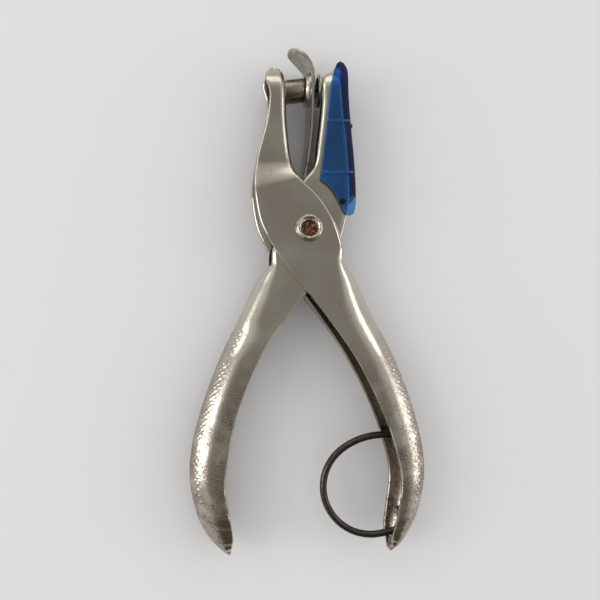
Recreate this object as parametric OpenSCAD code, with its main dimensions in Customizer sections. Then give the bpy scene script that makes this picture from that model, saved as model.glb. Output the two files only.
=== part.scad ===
// Single-hole hand punch: two stamped steel channel arms crossed on a tubular rivet,
// with a sprung opening, a fixed stripper, a swing-open chip catcher and a wire loop.
// Millimetres. +Z runs along the rivet, +Y towards the jaws. The origin is under the
// centre of the punch as it lies on its side.

/* [Sheet and widths] */
// Thickness of the stamped sheet of both arms
sheet = 1.0; // [0.8:0.1:1.1]
// Half of the width of both jaws, outside
jaw_half = 4.7; // [4.5:0.1:4.7]
// Half of the width of the outer arm at the rivet
pivot_half = 6.0; // [6.0:0.1:6.2]
// Half of the width of both handles
handle_half = 6.4; // [6.2:0.1:6.8]
// Outer radius where a handle's back turns into its sides
handle_corner = 4.2; // [3.0:0.2:4.6]

/* [Punch and die] */
// Diameter of the punched hole
hole_d = 6.3; // [6.0:0.1:6.4]
// Height of the punch's axis above the rivet when it meets the die
punch_reach = 38.6; // [38.4:0.1:38.8]
// Angle by which the arms close until the punch is square to the die
square_angle = 6.2; // [6.0:0.1:6.4]
// Depth to which the punch has entered the die at that angle
entry = 0.85; // [0.6:0.05:1.0]
// Clearance all round the punch in the die
die_gap = 0.15; // [0.12:0.01:0.2]
// Clearance all round the punch in the stripper's collar
collar_gap = 0.35; // [0.3:0.05:0.4]

/* [Rivet and spring] */
// Diameter of the rivet's barrel
rivet_d = 5.6; // [5.4:0.1:5.6]
// Running clearance all round the barrel
rivet_gap = 0.05; // [0.03:0.01:0.08]
// Diameter of the opening spring's wire
spring_wire = 1.2; // [1.0:0.1:1.2]
// Whole turns of the opening spring
spring_turns = 3; // [2:1:3]

/* [Chip catcher] */
// Thickness of the catcher's side walls
catcher_wall = 0.85; // [0.7:0.05:0.9]
// Diameter of the catcher's two hinge pips
pip_d = 1.6; // [1.4:0.1:1.8]

/* [Wire loop] */
// Diameter of the loop's wire
loop_wire = 1.9; // [1.7:0.1:2.0]
// Radius of the long flat bend at the loop's upper side
loop_flat_r = 19; // [18:0.5:20]
// Radius of the loop's round end
loop_round_r = 13; // [12.5:0.25:13.2]

/* [Hidden] */
$fn = 64;

// Stations along each arm, from the jaw's nose to the handle's tip:
// web edge x, y, free edge x, y, half width, corner radius.
jaw_corner = 1.8;
plate_corner = 1.2;
PUNCH_STATIONS = [
    [-7.6, 44.1, -9.9, 44.4, 2.2, plate_corner],
    [-6.6, 42.6, -11.1, 42.6, 4.0, 1.4],
    [-6.1, 40.6, -11.4, 40.6, jaw_half, jaw_corner],
    [-5.8, 36.0, -11.2, 35.5, jaw_half, jaw_corner],
    [-5.6, 29.5, -11.1, 29.5, jaw_half, jaw_corner],
    [-4.8, 21.0, -13.2, 21.0, jaw_half, jaw_corner],
    [-3.8, 16.0, -14.2, 15.5, jaw_half + 0.6, plate_corner],
    [-1.6, 13.0, -14.4, 11.0, pivot_half, plate_corner],
    [3.0, 8.6, -13.6, 5.0, pivot_half, plate_corner],
    [6.6, 3.0, -12.3, 0.5, pivot_half, plate_corner],
    [8.9, -3.5, -9.2, -5.2, pivot_half, plate_corner],
    [9.8, -8.8, -5.2, -10.8, pivot_half, 2.0],
    [12.7, -12.7, -1.5, -15.6, pivot_half, 3.4],
    [17.5, -22.5, 5.2, -24.0, pivot_half + 0.2, handle_corner],
    [23.7, -34.5, 12.6, -34.8, handle_half, handle_corner],
    [28.6, -47.5, 19.0, -47.5, handle_half, handle_corner],
    [31.3, -58.8, 22.8, -58.4, handle_half, handle_corner],
    [31.6, -67.0, 24.4, -67.0, handle_half, handle_corner],
    [30.0, -75.4, 23.4, -76.4, handle_half - 0.1, 4.0],
    [28.6, -79.2, 22.8, -79.4, 5.8, 3.6],
    [26.8, -82.6, 22.4, -82.2, 4.6, 2.8],
    [25.1, -85.0, 22.6, -84.2, 3.1, 1.8],
    [23.9, -86.3, 22.9, -85.4, 1.8, plate_corner]];

nested_half = pivot_half - sheet - 0.1;
DIE_STATIONS = [
    [5.9, 42.7, 7.6, 42.6, 2.8, plate_corner],
    [4.3, 41.5, 8.2, 41.3, 4.2, 1.4],
    [3.5, 39.6, 8.6, 39.4, jaw_half, jaw_corner],
    [3.5, 34.6, 9.0, 34.6, jaw_half, jaw_corner],
    [3.2, 30.5, 9.4, 30.0, jaw_half, jaw_corner],
    [2.3, 22.5, 10.3, 22.0, jaw_half, jaw_corner],
    [1.5, 17.0, 10.7, 15.5, jaw_half, plate_corner],
    [-1.8, 12.6, 10.9, 9.5, nested_half, plate_corner],
    [-4.6, 7.0, 10.2, 3.5, nested_half, plate_corner],
    [-7.3, 1.0, 8.8, -2.2, nested_half, plate_corner],
    [-9.4, -5.0, 6.4, -8.0, nested_half, plate_corner],
    [-10.4, -9.6, 3.2, -12.6, nested_half, 2.0],
    [-13.4, -13.6, -0.6, -17.4, nested_half, 3.4],
    [-18.4, -24.0, -6.6, -24.9, nested_half + 0.2, handle_corner],
    [-23.6, -35.0, -13.2, -35.0, handle_half, handle_corner],
    [-28.4, -48.0, -18.6, -48.2, handle_half, handle_corner],
    [-31.1, -59.0, -21.0, -59.0, handle_half, handle_corner],
    [-31.6, -67.5, -22.2, -68.5, handle_half, handle_corner],
    [-30.0, -76.0, -21.1, -76.4, handle_half - 0.1, 4.0],
    [-28.4, -80.0, -20.4, -79.8, 5.8, 3.6],
    [-26.2, -83.6, -20.0, -83.0, 4.6, 2.8],
    [-23.9, -86.0, -20.2, -85.2, 3.1, 1.8],
    [-22.0, -87.4, -20.7, -86.6, 1.8, plate_corner]];

rings_per_station = 2;
corner_steps = 4;
// The cut that opens an arm's web is this much taller than the space between its plates.
web_cut_spare = 0.02;
// Between the jaw and the rivet the punch arm's web opens only over this half width.
web_slot_half = jaw_half - 0.4;

// Punch and die
die_face_x = 3.0;
die_proud = 0.5;
die_d = 8.8;
die_shank_d = 7.3;
pin_length = 8.0;
pin_head_d = 7.2;
pin_head = 1.4;
pin_tip_x = die_face_x + entry;

// Rivet
washer_d = 7.2;
washer = 0.5;
rim_d = 6.7;
rim = 0.9;
recess_d = 4.4;
recess = 3.2;
head_d = 8.2;
head = 1.1;
head_gap = 0.05;

// Everything is drawn with the rivet's axis at x = y = 0 and the middle of the width at
// z = 0, and to_row() moves it. The far head is the lowest point of the punch.
rivet_y = 19.2;
row_shift = [0, rivet_y, pivot_half + head_gap + head];

// Stripper
strip = 1.0;
collar = 1.45;
collar_d = 8.5;
// The pin's axis falls a little as the arms close: the collar sits at its middle height.
collar_y = punch_reach + 0.15;
ear_r = 4.5;
ear_out = nested_half - sheet - 0.15;
ear = 0.9;
tongue_top = 17.2;
lip_top = 49.0;

// Catcher
catcher_in = jaw_half + 0.3;
catcher_out = catcher_in + catcher_wall;
catcher_hinge = [9.0, 7.2];
back_low = 8.6;

// Wire loop
loop_axis_x = 25.9;
loop_top_y = -55.4;
loop_bend_r = 2.4;
loop_low_bend_r = 3.0;
loop_foot_top = -50.8;
loop_foot_low = 3.9;
lug = 1.8;
lug_reach = 1.6;
loop_gap = 0.05;

function lerp(a, b, t) = a + (b - a) * t;
function ease(t) = t * t * (3 - 2 * t);
// A smooth curve through b and c, with a and d as their neighbours.
function spline(a, b, c, d, t) =
    0.5 * (2 * b + (c - a) * t + (2 * a - 5 * b + 4 * c - d) * t * t
           + (3 * b - a - 3 * c + d) * t * t * t);
function between(s, i, t) =
    let(a = s[max(i - 1, 0)], b = s[i], c = s[i + 1], d = s[min(i + 2, len(s) - 1)])
    [for (k = [0:5]) k < 4 ? spline(a[k], b[k], c[k], d[k], t) : lerp(b[k], c[k], ease(t))];
function stations(s, first, last) =
    concat([for (i = [first:last - 1]) for (j = [0:rings_per_station - 1])
            between(s, i, j / rings_per_station)], [s[last]]);
function arc(cx, cy, r, from, to) =
    [for (k = [0:corner_steps]) let(a = lerp(from, to, k / corner_steps))
     [cx + r * cos(a), cy + r * sin(a)]];
function depth(s) = norm([s[2] - s[0], s[3] - s[1]]);
// A channel's section: distance from the web's outer face, height.
function channel_section(s) =
    let(d = depth(s), h = s[4], r = s[5])
    concat([[d, h]], arc(r, h - r, r, 90, 180), arc(r, r - h, r, 180, 270), [[d, -h]],
           [[d, sheet - h]], arc(r, r - h, r - sheet, 270, 180),
           arc(r, h - r, r - sheet, 180, 90), [[d, h - sheet]]);
// Puts a section's point at its station.
function at(s, p) =
    let(d = depth(s))
    [lerp(s[0], s[2], p[0] / d), lerp(s[1], s[3], p[0] / d), p[1]];

// Skins a row of closed rings of equal, even length, with point k of a ring across from
// point n - 1 - k; flip where the rings run the other way.
module skin(rings, flip) {
    n = len(rings[0]);
    m = len(rings);
    sides = [for (i = [0:m - 2]) for (k = [0:n - 1])
             let(a = i * n + k, b = i * n + (k + 1) % n, c = b + n, d = a + n)
             each [flip ? [a, b, c] : [c, b, a], flip ? [a, c, d] : [d, c, a]]];
    end = (m - 1) * n;
    caps = [for (k = [0:n / 2 - 2])
            let(a = k, b = k + 1, c = n - 2 - k, d = n - 1 - k)
            each [flip ? [a, d, c] : [a, b, c], flip ? [a, c, b] : [a, c, d],
                  flip ? [end + a, end + b, end + c] : [end + a, end + d, end + c],
                  flip ? [end + a, end + c, end + d] : [end + a, end + c, end + b]]];
    polyhedron([for (r = rings) each r], concat(sides, caps), convexity = 6);
}

module channel(s, flip) {
    difference() {
        skin([for (q = stations(s, 0, len(s) - 1)) [for (p = channel_section(q)) at(q, p)]],
             flip);
        cylinder(d = rivet_d + 2 * rivet_gap, h = 30, center = true);
    }
}

// Opens an arm's web between a level line and a sloping line below it.
module web_gap(top, low_left, low_right, half) {
    far = 30;
    linear_extrude(2 * half, center = true)
        polygon([[-far, top], [-far, low_left], [far, low_right], [far, top]]);
}

// Moves what is drawn about the rivet into the row's own frame.
module to_row() { translate(row_shift) children(); }

// Stands a cylinder's axis along +X at the height of the punch.
module along_x(x) { translate([x, punch_reach, 0]) rotate([0, 90, 0]) children(); }

// Turns what is drawn with the arms squared to the die back to the open position.
module opened() { rotate([0, 0, square_angle]) children(); }

module loop_lug(y) {
    back = 3.2;
    width = 3.6;
    translate([loop_axis_x - lug_reach, y - lug, -width / 2])
        cube([lug_reach + back, lug, width]);
}

module punch_arm() {
    color("gainsboro") to_row() difference() {
        union() {
            channel(PUNCH_STATIONS, true);
            loop_lug(loop_foot_top - 0.4);
            loop_lug(low_centre.y + loop_foot_low - 0.4);
        }
        web_gap(14.0, -14, -6, pivot_half - sheet + web_cut_spare);
        web_gap(16, 0, 0, web_slot_half);
        opened() along_x(-8) cylinder(d = hole_d, h = 7.5);
        translate([loop_axis_x, loop_foot_top + 1, 0]) rotate([90, 0, 0])
            cylinder(d = loop_wire + 2 * loop_gap, h = 30);
    }
}

module die_arm() {
    color("silver") to_row() difference() {
        channel(DIE_STATIONS, false);
        web_gap(16, -5.3, -18.5, nested_half - sheet + web_cut_spare);
        along_x(3) cylinder(d = die_shank_d, h = 5);
        translate([catcher_hinge.x, catcher_hinge.y, 0])
            cylinder(d = pip_d + 2 * rivet_gap, h = 30, center = true);
    }
}

// Semi-tubular rivet: the near end is hollow and rolled out over the washer.
module pivot_rivet() {
    top = pivot_half + head_gap + washer;
    low = -(pivot_half + head_gap);
    r = rivet_d / 2;
    color("lightgray") to_row() rotate_extrude()
        polygon([[0, low - head], [head_d / 2 - 1, low - head], [head_d / 2, low - 0.4],
                 [head_d / 2, low], [r, low], [r, top], [rim_d / 2, top],
                 [rim_d / 2, top + 0.4], [rim_d / 2 - 0.4, top + rim],
                 [recess_d / 2 + 0.3, top + rim], [recess_d / 2, top + 0.4],
                 [recess_d / 2, top - recess], [0, top - recess]]);
}

module rivet_washer() {
    color("silver") to_row() translate([0, 0, pivot_half + head_gap]) difference() {
        cylinder(d = washer_d, h = washer);
        translate([0, 0, -1]) cylinder(d = rivet_d + 2 * rivet_gap, h = 3);
    }
}

// The head sits behind the jaw's web and the tip stands in the stripper's collar.
module punch_pin() {
    color("rosybrown") to_row() opened() along_x(pin_tip_x - pin_length) union() {
        cylinder(d = hole_d, h = pin_length);
        cylinder(d = pin_head_d, h = pin_head);
    }
}

module die_button() {
    color("dimgray") to_row() along_x(die_face_x) difference() {
        union() {
            cylinder(d = die_d, h = die_proud);
            cylinder(d = die_shank_d, h = die_proud + sheet);
        }
        translate([0, 0, -1]) cylinder(d = hole_d + 2 * die_gap, h = 5);
    }
}

// The strip's edge outline: up the paper side, round the lead-in lip and back.
STRIP_RIGHT = [[-2.2, 8.5], [-0.45, 14.0], [0.2, 17.0], [0.85, 21.8], [1.4, 27.1], [1.65, 33.0],
               [1.75, 38.0], [1.85, 41.6], [1.35, 43.8], [0.2, 45.9], [-1.6, 47.7],
               [-3.6, 48.7], [-5.1, lip_top]];
function strip_side(i) =
    let(a = STRIP_RIGHT[max(i - 1, 0)], b = STRIP_RIGHT[min(i + 1, len(STRIP_RIGHT) - 1)],
        d = (b - a) / norm(b - a)) STRIP_RIGHT[i] + strip * [-d.y, d.x];

module strip_edge() {
    last = len(STRIP_RIGHT) - 1;
    polygon(concat(STRIP_RIGHT, [for (i = [last:-1:0]) strip_side(i)]));
}

// Seen along X: the wide strip with its rounded lip.
module strip_front() {
    lip_r = 4.0;
    hull() {
        translate([tongue_top, -jaw_half]) square([20, 2 * jaw_half]);
        for (side = [-1, 1])
            translate([lip_top + strip - lip_r, side * (jaw_half - lip_r)])
                circle(r = lip_r, $fn = 32);
    }
}

module along_collar(x) { translate([x, collar_y, 0]) rotate([0, 90, 0]) children(); }

module stripper() {
    tongue = ear_out;
    color("whitesmoke") to_row() difference() {
        union() {
            intersection() {
                linear_extrude(2 * jaw_half, center = true) strip_edge();
                union() {
                    rotate([0, 90, 0]) rotate([0, 0, 90])
                        linear_extrude(40, center = true) strip_front();
                    translate([-10, 8.2, -tongue]) cube([20, 12, 2 * tongue]);
                }
            }
            along_collar(1.0 - collar) cylinder(d = collar_d, h = collar);
            for (side = [-1, 1])
                translate([0, 0, side * (tongue - ear / 2)]) stripper_ear();
        }
        along_collar(-6) cylinder(d = hole_d + 2 * collar_gap, h = 12);
        cylinder(d = rivet_d + 2 * rivet_gap, h = 30, center = true);
    }
}

module stripper_ear() {
    linear_extrude(ear, center = true) union() {
        circle(r = ear_r);
        polygon([[-4.4, 1.0], [-3.2, 8.5], [-1.45, 14.0], [-0.45, 14.0], [0.6, 9.0], [4.4, 1.0]]);
    }
}

// Close-wound torsion spring; its legs bear on the insides of the two handles' backs.
spring_r = 3.7;
spring_half = spring_turns * (spring_wire + 0.1) / 2 + 0.1;
// Each leg runs straight to its knee, inside the back's edge, and on to its end.
die_knee = [-8.5, -9.5];
die_leg_end = [-10.89, -13.51];
punch_knee = [7.9, -9.0];
punch_leg_end = [11.85, -14.9];
function touch(p, side) = atan2(p.y, p.x) + side * acos(spring_r / norm(p));
spring_start = touch(die_knee, -1);
spring_end = touch(punch_knee, 1) + 360 * spring_turns;
coil_steps = 14 * spring_turns;
function coil_point(t) =
    let(a = lerp(spring_start, spring_end, t))
    [spring_r * cos(a), spring_r * sin(a), lerp(-spring_half, spring_half, t)];
SPRING_PATH = concat([for (p = [die_leg_end, die_knee]) [p.x, p.y, -spring_half]],
                     [for (k = [0:coil_steps]) coil_point(k / coil_steps)],
                     [for (p = [punch_knee, punch_leg_end]) [p.x, p.y, spring_half]]);
function ring_at(path, i, r, sides) =
    let(a = path[max(i - 1, 0)], b = path[min(i + 1, len(path) - 1)],
        d = (b - a) / norm(b - a), n = [-d.y, d.x, 0] / norm([d.x, d.y]), u = cross(d, n))
    [for (k = [0:sides - 1]) path[i] + r * (cos(360 * k / sides) * n + sin(360 * k / sides) * u)];

module opening_spring() {
    color("dimgray") to_row()
        skin([for (i = [0:len(SPRING_PATH) - 1]) ring_at(SPRING_PATH, i, spring_wire / 2, 8)],
             false);
}

// The catcher's side: from the nose down the back, round the ear and up the diagonal.
CATCHER_SIDE = [[7.2, 43.3], [7.6, 43.9], [8.3, 44.2], [9.3, 43.6], [10.1, 42.2], [10.4, 40.0],
                [10.5, 36.0], [10.9, 29.6], [12.0, 17.6], [12.4, 10.5], [12.3, 6.0],
                [11.7, 3.8], [10.8, 3.4], [9.6, 4.2], [8.3, 6.2], [6.4, 9.7], [4.8, 11.6],
                [3.1, 13.1], [3.5, 16.6], [4.8, 28.5], [5.9, 38.3]];
// The space inside the catcher's back wall, open on the jaw's side and below.
CATCHER_SPACE = [[-2, 43.2], [8.0, 43.2], [8.8, 41.6], [9.1, 39.8], [9.2, 36.0], [9.7, 29.4],
                 [10.9, 17.5], [11.3, back_low], [20, back_low], [20, -2], [-2, -2]];

module chip_catcher() {
    grip = 1.1;
    color("steelblue", 0.7) to_row() union() {
        difference() {
            linear_extrude(2 * catcher_out, center = true) polygon(CATCHER_SIDE);
            linear_extrude(2 * catcher_in, center = true) polygon(CATCHER_SPACE);
        }
        translate([10.6, 28.0, 0]) rotate([0, 90, 0])
            translate([-3.4, -0.6, 0]) cube([6.8, 1.2, 0.4 + grip]);
        for (side = [-1, 1])
            translate([catcher_hinge.x, catcher_hinge.y, side * (catcher_in - 0.45)])
                cylinder(d = pip_d, h = 1.1, center = true);
    }
}

// The loop's bow is a chain of tangent arcs and straights in the plane z = 0.
flat_sweep = 38;
round_sweep = 154;
end_heading = flat_sweep + round_sweep - 180;
top_centre = [loop_axis_x - loop_bend_r, loop_top_y + loop_bend_r];
flat_centre = [21.5, loop_top_y - loop_flat_r];
flat_end = flat_centre + loop_flat_r * [cos(90 + flat_sweep), sin(90 + flat_sweep)];
round_centre = flat_end - loop_round_r * [cos(90 + flat_sweep), sin(90 + flat_sweep)];
round_end = round_centre + loop_round_r * [cos(end_heading - 90), sin(end_heading - 90)];
low_centre_x = loop_axis_x - loop_low_bend_r;
low_start_x = low_centre_x + loop_low_bend_r * sin(end_heading);
low_run = (low_start_x - round_end.x) / cos(end_heading);
low_start = round_end + low_run * [cos(end_heading), sin(end_heading)];
low_centre = low_start + loop_low_bend_r * [-sin(end_heading), cos(end_heading)];
function bend(centre, r, from, sweep, steps) =
    [for (k = [0:steps]) let(a = from + sweep * k / steps)
     [centre.x + r * cos(a), centre.y + r * sin(a), 0]];
BOW = concat([[loop_axis_x, top_centre.y + 0.5, 0]],
             bend(top_centre, loop_bend_r, 0, -90, 5),
             bend(flat_centre, loop_flat_r, 90, flat_sweep, 5),
             bend(round_centre, loop_round_r, 95 + flat_sweep, round_sweep - 5, 16),
             bend(low_centre, loop_low_bend_r, end_heading - 90, 90 - end_heading, 5),
             [[loop_axis_x, low_centre.y + 0.5, 0]]);

module loop_foot(y, length) {
    translate([loop_axis_x, y, 0]) rotate([-90, 0, 0]) cylinder(d = loop_wire, h = length);
}

module wire_loop() {
    inside = 0.02;
    color("dimgray") to_row() union() {
        skin([for (i = [0:len(BOW) - 1]) ring_at(BOW, i, loop_wire / 2 - inside, 12)], false);
        loop_foot(top_centre.y, loop_foot_top - top_centre.y);
        loop_foot(low_centre.y, loop_foot_low);
    }
}

punch_arm();
die_arm();
pivot_rivet();
rivet_washer();
punch_pin();
die_button();
stripper();
opening_spring();
chip_catcher();
wire_loop();
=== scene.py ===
"""Single-hole hand punch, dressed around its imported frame.

Every piece is drawn in millimetres about the rivet's axis, at the middle of the punch's
width, and then placed in the row frame, in metres. +Y runs to the jaws, +Z up the rivet.
"""
import logging
import math
from dataclasses import dataclass, field
from enum import Enum
from typing import Any

import bmesh
import bpy
from mathutils import Matrix, Vector


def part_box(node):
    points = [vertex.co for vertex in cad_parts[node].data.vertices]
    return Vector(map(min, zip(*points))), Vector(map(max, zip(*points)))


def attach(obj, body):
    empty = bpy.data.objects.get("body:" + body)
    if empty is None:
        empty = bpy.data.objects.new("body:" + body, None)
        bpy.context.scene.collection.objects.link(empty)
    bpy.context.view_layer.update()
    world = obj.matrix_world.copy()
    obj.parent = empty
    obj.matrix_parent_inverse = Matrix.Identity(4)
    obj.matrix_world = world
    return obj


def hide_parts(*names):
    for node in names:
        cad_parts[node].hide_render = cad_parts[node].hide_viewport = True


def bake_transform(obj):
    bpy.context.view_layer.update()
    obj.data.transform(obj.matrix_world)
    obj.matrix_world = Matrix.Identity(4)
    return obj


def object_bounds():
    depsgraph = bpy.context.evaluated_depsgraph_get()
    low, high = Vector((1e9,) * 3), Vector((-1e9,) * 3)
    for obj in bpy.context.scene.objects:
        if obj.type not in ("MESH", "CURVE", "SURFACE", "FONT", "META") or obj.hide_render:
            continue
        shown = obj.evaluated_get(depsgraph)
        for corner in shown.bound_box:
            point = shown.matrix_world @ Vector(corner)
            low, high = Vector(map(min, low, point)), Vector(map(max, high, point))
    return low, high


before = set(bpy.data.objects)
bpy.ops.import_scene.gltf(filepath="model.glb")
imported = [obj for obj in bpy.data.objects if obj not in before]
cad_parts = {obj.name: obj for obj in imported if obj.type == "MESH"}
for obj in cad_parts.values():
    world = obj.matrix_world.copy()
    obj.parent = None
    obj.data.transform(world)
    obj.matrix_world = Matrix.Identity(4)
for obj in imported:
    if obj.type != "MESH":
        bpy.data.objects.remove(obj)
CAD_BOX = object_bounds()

LOG = logging.getLogger("hand_punch")
MM = 0.001
RIVET_LOW, RIVET_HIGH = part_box("pivot_rivet")
ARM_LOW, ARM_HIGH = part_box("punch_arm")
RIVET_CENTRE = (RIVET_LOW + RIVET_HIGH) / 2
MID_HEIGHT = (ARM_LOW.z + ARM_HIGH.z) / 2
ORIGIN = Vector((RIVET_CENTRE.x, RIVET_CENTRE.y, MID_HEIGHT))

RIVET_HOLE = 2.85
THROUGH = 9.0
MERGE_GAP = 1e-4
SKIN_GAP = 1e-5

Section = list[float]
Ring = list[Vector]


class Body(Enum):
    """The bodies of the frame that pieces ride on."""

    DIE = "die_side"
    PUNCH = "punch_side"
    CATCHER = "catcher"
    LOOP = "loop"


class Slot(Enum):
    """The record's material slots."""

    NICKEL = "nickel_plate"
    RIVET = "rivet_steel"
    TOOL = "tool_steel"
    STRIP = "nickel_strip"
    SPRING = "spring_wire"
    PLASTIC = "blue_plastic"
    WIRE = "black_wire"


# ---------------------------------------------------------------------------------------
# Small tools
# ---------------------------------------------------------------------------------------
def linear(code: str, alpha: float = 1.0) -> tuple[float, float, float, float]:
    """Turns an sRGB hex colour to linear light.

    Args:
        code: the colour, such as "#B9B4A6".
        alpha: the fourth value.

    Returns:
        Linear red, green, blue and alpha.
    """
    channels = [int(code[i:i + 2], 16) / 255 for i in (1, 3, 5)]
    lit = [c / 12.92 if c <= 0.04045 else ((c + 0.055) / 1.055) ** 2.4 for c in channels]
    return (lit[0], lit[1], lit[2], alpha)


def per_mm(size: float) -> float:
    """The scale of a pattern on metre coordinates whose grain is this many millimetres."""
    return 1.0 / (size * MM)


def lerp(a: float, b: float, t: float) -> float:
    """The value at share t of the way from a to b."""
    return a + (b - a) * t


def ease(t: float) -> float:
    """A smooth step from 0 to 1, held outside that range."""
    t = min(max(t, 0.0), 1.0)
    return t * t * (3 - 2 * t)


def spline(a: float, b: float, c: float, d: float, t: float) -> float:
    """The curve through b and c at t, with a and d as their neighbours."""
    return 0.5 * (2 * b + (c - a) * t + (2 * a - 5 * b + 4 * c - d) * t * t
                  + (3 * b - a - 3 * c + d) * t ** 3)


def smooth_row(table: list[Section], spacing: float, splined: int) -> list[Section]:
    """Fills a table of stations with rows between them.

    Args:
        table: rows of numbers; the first two are a place.
        spacing: the distance between the new rows, in millimetres.
        splined: how many of a row's first values follow a curve; the rest are eased.

    Returns:
        The rows, from the table's first to its last.
    """
    rows: list[Section] = []
    for i in range(len(table) - 1):
        near = [table[max(i - 1, 0)], table[i], table[i + 1], table[min(i + 2, len(table) - 1)]]
        length = math.dist(near[1][:2], near[2][:2])
        steps = max(1, round(length / spacing))
        for j in range(steps):
            t = j / steps
            curve = [spline(*(row[k] for row in near), t) for k in range(splined)]
            eased = [lerp(near[1][k], near[2][k], ease(t)) for k in range(splined, len(near[1]))]
            rows.append(curve + eased)
    rows.append(list(table[-1]))
    return rows


def arc(centre: tuple[float, float], radius: float, start: float, end: float,
        steps: int) -> list[tuple[float, float]]:
    """Points on an arc from one angle to another.

    Args:
        centre: the arc's centre.
        radius: its radius.
        start: the angle of the first point, in degrees.
        end: the angle of the last point, in degrees.
        steps: how many stretches it has.

    Returns:
        The points, with both ends.
    """
    angles = [math.radians(lerp(start, end, k / steps)) for k in range(steps + 1)]
    return [(centre[0] + radius * math.cos(a), centre[1] + radius * math.sin(a)) for a in angles]


def skin(rings: list[Ring]) -> bmesh.types.BMesh:
    """Folds a flat grid into a closed skin through a row of closed rings.

    Args:
        rings: closed rings with the same number of points.

    Returns:
        The skin, capped at both ends.
    """
    rows = len(rings) - 1
    around = len(rings[0])
    bm = bmesh.new()
    bmesh.ops.create_grid(bm, x_segments=rows, y_segments=around, size=0.5)
    for vertex in bm.verts:
        row = round((vertex.co.x + 0.5) * rows)
        column = round((vertex.co.y + 0.5) * around) % around
        vertex.co = rings[row][column]
    bmesh.ops.remove_doubles(bm, verts=bm.verts, dist=SKIN_GAP)
    rims = [edge for edge in bm.edges if edge.is_boundary]
    bmesh.ops.holes_fill(bm, edges=rims, sides=0)
    bmesh.ops.recalc_face_normals(bm, faces=bm.faces)
    return bm


def tube(path: list[Vector], radius: float, sides: int) -> bmesh.types.BMesh:
    """A round wire of one thickness along a path that stays level or nearly so.

    Args:
        path: the wire's centre line.
        radius: half of its thickness.
        sides: how many points go round it.

    Returns:
        The wire, capped at both ends.
    """
    rings: list[Ring] = []
    for i, point in enumerate(path):
        ahead = path[min(i + 1, len(path) - 1)] - path[max(i - 1, 0)]
        ahead.normalize()
        side = Vector((-ahead.y, ahead.x, 0)).normalized()
        up = ahead.cross(side)
        turns = [2 * math.pi * k / sides for k in range(sides)]
        rings.append([point + radius * (math.cos(a) * side + math.sin(a) * up) for a in turns])
    return skin(rings)


def lathe(profile: list[tuple[float, float]], segments: int = 96) -> bmesh.types.BMesh:
    """Spins a profile about Z.

    Args:
        profile: (radius, height) points in order.
        segments: how many steps a full turn has.

    Returns:
        The turned shape.
    """
    bm = bmesh.new()
    verts = [bm.verts.new((radius, 0, height)) for radius, height in profile]
    edges = [bm.edges.new(pair) for pair in zip(verts, verts[1:])]
    bmesh.ops.spin(bm, geom=verts + edges, cent=(0, 0, 0), axis=(0, 0, 1), dvec=(0, 0, 0),
                   angle=2 * math.pi, steps=segments, use_merge=True, use_duplicate=False)
    bmesh.ops.remove_doubles(bm, verts=bm.verts, dist=MERGE_GAP)
    bmesh.ops.recalc_face_normals(bm, faces=bm.faces)
    return bm


def prism(outline: list[tuple[float, float]], low: float, high: float) -> bmesh.types.BMesh:
    """Extrudes an outline in the XY plane.

    Args:
        outline: its corners in order.
        low: the height that it starts at.
        high: the height that it ends at.

    Returns:
        The closed block.
    """
    bm = bmesh.new()
    face = bm.faces.new([bm.verts.new((x, y, low)) for x, y in outline])
    made = bmesh.ops.extrude_face_region(bm, geom=[face])
    top = [g for g in made["geom"] if isinstance(g, bmesh.types.BMVert)]
    bmesh.ops.translate(bm, verts=top, vec=(0, 0, high - low))
    bmesh.ops.recalc_face_normals(bm, faces=bm.faces)
    return bm


def rod(radius: float, low: float, high: float, place: Matrix | None = None,
        segments: int = 64) -> bmesh.types.BMesh:
    """A plain round bar along Z, mostly used as a cutter.

    Args:
        radius: its radius.
        low: the height of its lower end.
        high: the height of its upper end.
        place: how it is laid afterwards.
        segments: how many sides it has.

    Returns:
        The bar, closed at both ends.
    """
    bm = bmesh.new()
    middle = Matrix.Translation((0, 0, (low + high) / 2))
    bmesh.ops.create_cone(bm, cap_ends=True, segments=segments, radius1=radius, radius2=radius,
                          depth=high - low, matrix=(place or Matrix()) @ middle)
    return bm


def soften(bm: bmesh.types.BMesh, width: float, segments: int = 2,
           sharper_than: float = 30.0) -> None:
    """Rounds the sharp edges of a mesh.

    Args:
        bm: the mesh.
        width: the rounding's width.
        segments: how many steps it has.
        sharper_than: edges that turn by more than this, in degrees, are rounded.
    """
    limit = math.radians(sharper_than)
    edges = [e for e in bm.edges if len(e.link_faces) == 2 and e.calc_face_angle() > limit]
    bmesh.ops.bevel(bm, geom=edges, offset=width, offset_type="OFFSET", segments=segments,
                    profile=0.5, affect="EDGES", material=-1, clamp_overlap=True)


def join(target: bmesh.types.BMesh, *others: bmesh.types.BMesh) -> bmesh.types.BMesh:
    """Adds other meshes to the first.

    Args:
        target: the mesh that grows.
        others: the meshes to add, which are freed.

    Returns:
        The first mesh.
    """
    for other in others:
        spare = bpy.data.meshes.new("spare")
        other.to_mesh(spare)
        other.free()
        target.from_mesh(spare)
        bpy.data.meshes.remove(spare)
    return target


def loose_object(name: str, bm: bmesh.types.BMesh) -> bpy.types.Object:
    """Puts a mesh on a new object in the scene.

    Args:
        name: the name of the object and of its mesh.
        bm: the mesh, which is freed.

    Returns:
        The object.
    """
    mesh = bpy.data.meshes.new(name)
    bm.to_mesh(mesh)
    bm.free()
    made = bpy.data.objects.new(name, mesh)
    bpy.context.scene.collection.objects.link(made)
    return made


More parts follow.
